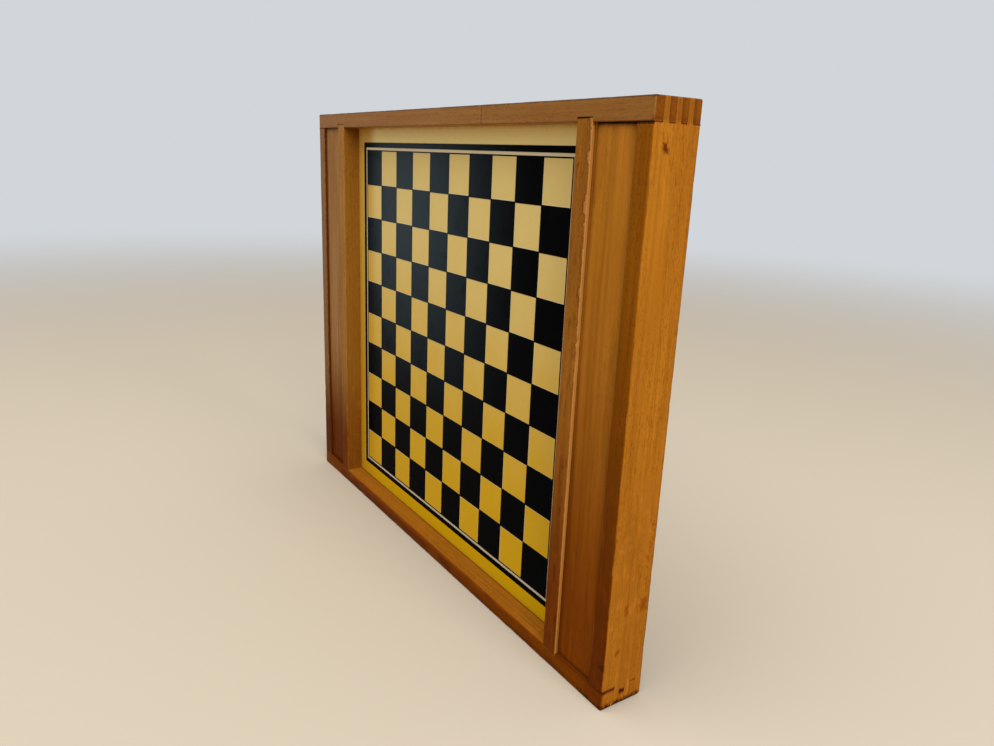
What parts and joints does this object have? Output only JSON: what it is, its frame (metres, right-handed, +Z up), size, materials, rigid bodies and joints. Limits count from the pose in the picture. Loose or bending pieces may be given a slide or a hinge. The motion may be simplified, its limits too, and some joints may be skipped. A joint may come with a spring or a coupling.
{
  "type": "reversible game board",
  "caption": "Reversible draughts and chess board in a finger-jointed wooden box frame, with a well for game pieces at each end under a sliding lid.",
  "frame": {"origin": "middle of the bottom rail's underside, on which the board stands", "axes": "+X across the board to the right as seen from the draughts face, +Y from the draughts face to the chess face, +Z up"},
  "size_m": [0.476, 0.035, 0.376],
  "materials": {
    "frame_beech": "varnished, satin, worn at the arrises",
    "lid_beech": "varnished, satin",
    "hardboard": "pressed fibre, raw edges",
    "yellow_lacquer": "satin lacquer on paper",
    "black_ink": "glossy printed ink"
  },
  "bodies": {
    "frame": {"top_rail": "frame_beech", "bottom_rail": "frame_beech", "left_rail": "frame_beech", "right_rail": "frame_beech", "left_divider": "frame_beech", "right_divider": "frame_beech", "board_core": "hardboard", "draughts_sheet": "yellow_lacquer", "draughts_squares": "black_ink", "draughts_border": "black_ink", "chess_sheet": "yellow_lacquer", "chess_squares": "black_ink", "chess_border": "black_ink", "left_floor": "lid_beech", "right_floor": "lid_beech"},
    "left_lid": {"left_lid": "lid_beech"},
    "right_lid": {"right_lid": "lid_beech"}
  },
  "joints": [
    {"name": "left_lid_slide", "type": "slide", "parent": "frame", "child": "left_lid", "axis": [0, 0, 1], "range_m": [0, 0.35]},
    {"name": "right_lid_slide", "type": "slide", "parent": "frame", "child": "right_lid", "axis": [0, 0, 1], "range_m": [0, 0.35]}
  ]
}
